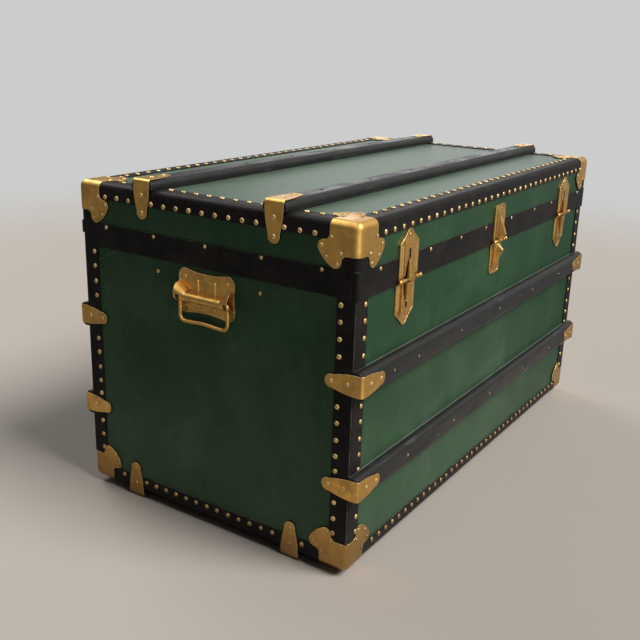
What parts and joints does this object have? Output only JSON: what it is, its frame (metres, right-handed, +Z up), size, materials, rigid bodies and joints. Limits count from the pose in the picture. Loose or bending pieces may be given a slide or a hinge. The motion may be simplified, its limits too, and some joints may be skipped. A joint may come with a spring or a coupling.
{
  "type": "travel trunk",
  "caption": "Rectangular fibre-covered travel trunk with a hinged lid, wooden slats, lobed brass corners, snap catches on the front and a folding wire handle on each end.",
  "frame": {"origin": "bottom centre of the whole trunk, on the floor under the runners", "axes": "+X along the length, the catches on the -Y face, +Z up"},
  "size_m": [0.9068, 0.5238, 0.5164],
  "materials": {
    "boards": "thin sawn board, bare inside the joints",
    "green_fibre": "vulcanised fibre sheet painted dark green, satin and lightly scuffed",
    "black_fibre": "vulcanised fibre strip painted black, satin",
    "slats": "hardwood painted black, satin",
    "lining": "plain buff cloth pasted on thin card",
    "brass": "stamped sheet brass, dulled satin with brighter rims",
    "bail_wire": "drawn brass wire, worn bright",
    "pins": "turned brass rod"
  },
  "bodies": {
    "trunk_body": {"body_front_board": "boards", "body_back_board": "boards", "body_left_board": "boards", "body_right_board": "boards", "bottom_board": "boards", "body_fibre_sheets": "green_fibre", "body_lining": "lining", "corner_bindings": "black_fibre", "bottom_bindings": "black_fibre", "front_upper_slat": "slats", "front_lower_slat": "slats", "back_upper_slat": "slats", "back_lower_slat": "slats", "front_runner": "slats", "rear_runner": "slats", "wall_slat_clamps": "brass", "runner_clamps": "brass", "body_clamp_nails": "brass", "bottom_corners": "brass", "left_handle_plate": "brass", "right_handle_plate": "brass", "left_catch_base": "brass", "centre_catch_base": "brass", "right_catch_base": "brass", "left_catch_pin": "pins", "centre_catch_pin": "pins", "right_catch_pin": "pins", "hinge_body_leaves": "brass", "hinge_pins": "pins"},
    "lid": {"lid_top_board": "boards", "lid_front_board": "boards", "lid_back_board": "boards", "lid_left_board": "boards", "lid_right_board": "boards", "lid_fibre_sheets": "green_fibre", "lid_lining": "lining", "lid_edge_bindings": "black_fibre", "lid_corner_strips": "black_fibre", "front_valance": "black_fibre", "left_valance": "black_fibre", "right_valance": "black_fibre", "back_band": "black_fibre", "front_top_slat": "slats", "rear_top_slat": "slats", "top_slat_clamps": "brass", "lid_clamp_nails": "brass", "lid_corners": "brass", "left_catch_plate": "brass", "centre_catch_plate": "brass", "right_catch_plate": "brass", "hinge_lid_leaves": "brass"},
    "left_lever": {"left_catch_lever": "brass"},
    "centre_lever": {"centre_catch_lever": "brass"},
    "right_lever": {"right_catch_lever": "brass"},
    "left_bail": {"left_bail": "bail_wire"},
    "right_bail": {"right_bail": "bail_wire"}
  },
  "joints": [
    {"name": "lid_hinge", "type": "hinge", "parent": "trunk_body", "child": "lid", "pos_m": [0, 0.251, 0.42], "axis": [-1, 0, 0], "range_deg": [0, 100]},
    {"name": "left_catch_pivot", "type": "hinge", "parent": "trunk_body", "child": "left_lever", "pos_m": [-0.31, -0.2521, 0.406], "axis": [1, 0, 0], "range_deg": [0, 95]},
    {"name": "centre_catch_pivot", "type": "hinge", "parent": "trunk_body", "child": "centre_lever", "pos_m": [0, -0.2521, 0.406], "axis": [1, 0, 0], "range_deg": [0, 95]},
    {"name": "right_catch_pivot", "type": "hinge", "parent": "trunk_body", "child": "right_lever", "pos_m": [0.31, -0.2521, 0.406], "axis": [1, 0, 0], "range_deg": [0, 95]},
    {"name": "left_bail_pivot", "type": "hinge", "parent": "trunk_body", "child": "left_bail", "pos_m": [-0.444, 0, 0.358], "axis": [0, 1, 0], "range_deg": [0, 90]},
    {"name": "right_bail_pivot", "type": "hinge", "parent": "trunk_body", "child": "right_bail", "pos_m": [0.444, 0, 0.358], "axis": [0, -1, 0], "range_deg": [0, 90]}
  ]
}
